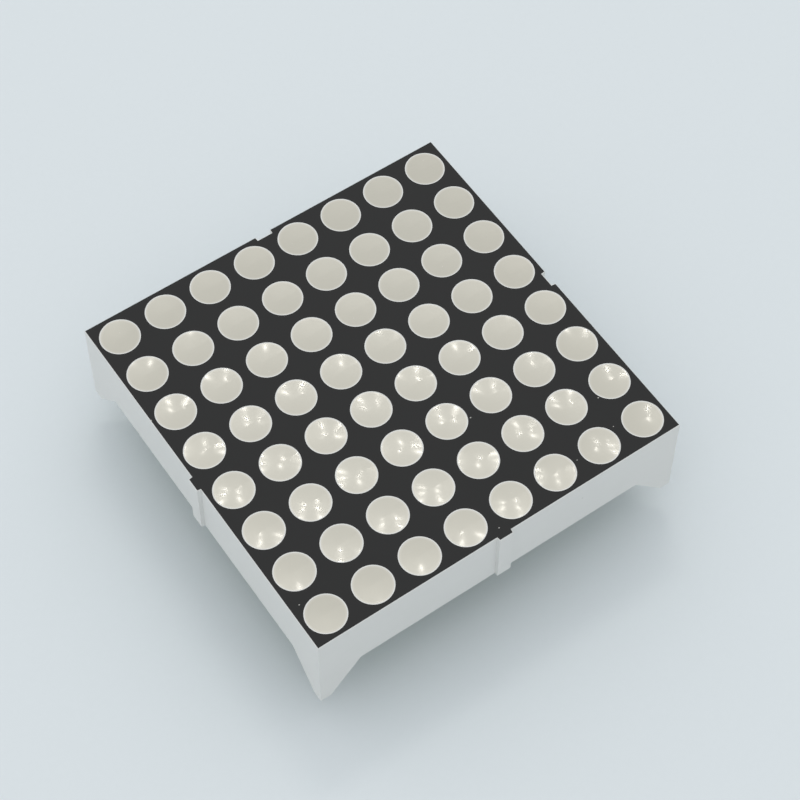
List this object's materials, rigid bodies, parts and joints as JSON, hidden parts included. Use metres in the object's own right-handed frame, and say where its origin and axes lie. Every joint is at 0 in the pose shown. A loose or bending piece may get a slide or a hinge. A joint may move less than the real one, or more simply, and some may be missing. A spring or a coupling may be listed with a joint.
{
  "type": "led dot matrix",
  "caption": "Square LED dot matrix module: round milky dots in a black face, white housing with interlocking side ribs and grooves, corner legs, circuit board and two rows of pins.",
  "frame": {"origin": "middle of the module, level with the tips of the pins", "axes": "+Z the way the dots face, X along the two rows of pins, with the guide ribs on -X and -Y and the grooves on +X and +Y"},
  "size_m": [0.0385, 0.0385, 0.0135],
  "materials": {
    "white_plastic": "fine moulded satin",
    "black_ink": "matt printed ink",
    "milky_resin": "glossy milky casting resin",
    "die": "sawn semiconductor",
    "bond_wire": "bright gold",
    "board_laminate": "green solder resist",
    "copper": "plated copper under resist",
    "tinned_pin": "bright tin",
    "solder": "satin solder"
  },
  "bodies": {
    "root": {"housing": "white_plastic", "face_mask": "black_ink", "lens_row_1": "milky_resin", "lens_row_2": "milky_resin", "lens_row_3": "milky_resin", "lens_row_4": "milky_resin", "lens_row_5": "milky_resin", "lens_row_6": "milky_resin", "lens_row_7": "milky_resin", "lens_row_8": "milky_resin", "die_row_1": "die", "die_row_2": "die", "die_row_3": "die", "die_row_4": "die", "die_row_5": "die", "die_row_6": "die", "die_row_7": "die", "die_row_8": "die", "bond_wire_row_1": "bond_wire", "bond_wire_row_2": "bond_wire", "bond_wire_row_3": "bond_wire", "bond_wire_row_4": "bond_wire", "bond_wire_row_5": "bond_wire", "bond_wire_row_6": "bond_wire", "bond_wire_row_7": "bond_wire", "bond_wire_row_8": "bond_wire", "board": "board_laminate", "inner_copper": "copper", "outer_copper": "copper", "pin_1": "tinned_pin", "pin_2": "tinned_pin", "pin_3": "tinned_pin", "pin_4": "tinned_pin", "pin_5": "tinned_pin", "pin_6": "tinned_pin", "pin_7": "tinned_pin", "pin_8": "tinned_pin", "pin_9": "tinned_pin", "pin_10": "tinned_pin", "pin_11": "tinned_pin", "pin_12": "tinned_pin", "pin_13": "tinned_pin", "pin_14": "tinned_pin", "pin_15": "tinned_pin", "pin_16": "tinned_pin", "solder_row_1": "solder", "solder_row_2": "solder"}
  },
  "joints": []
}
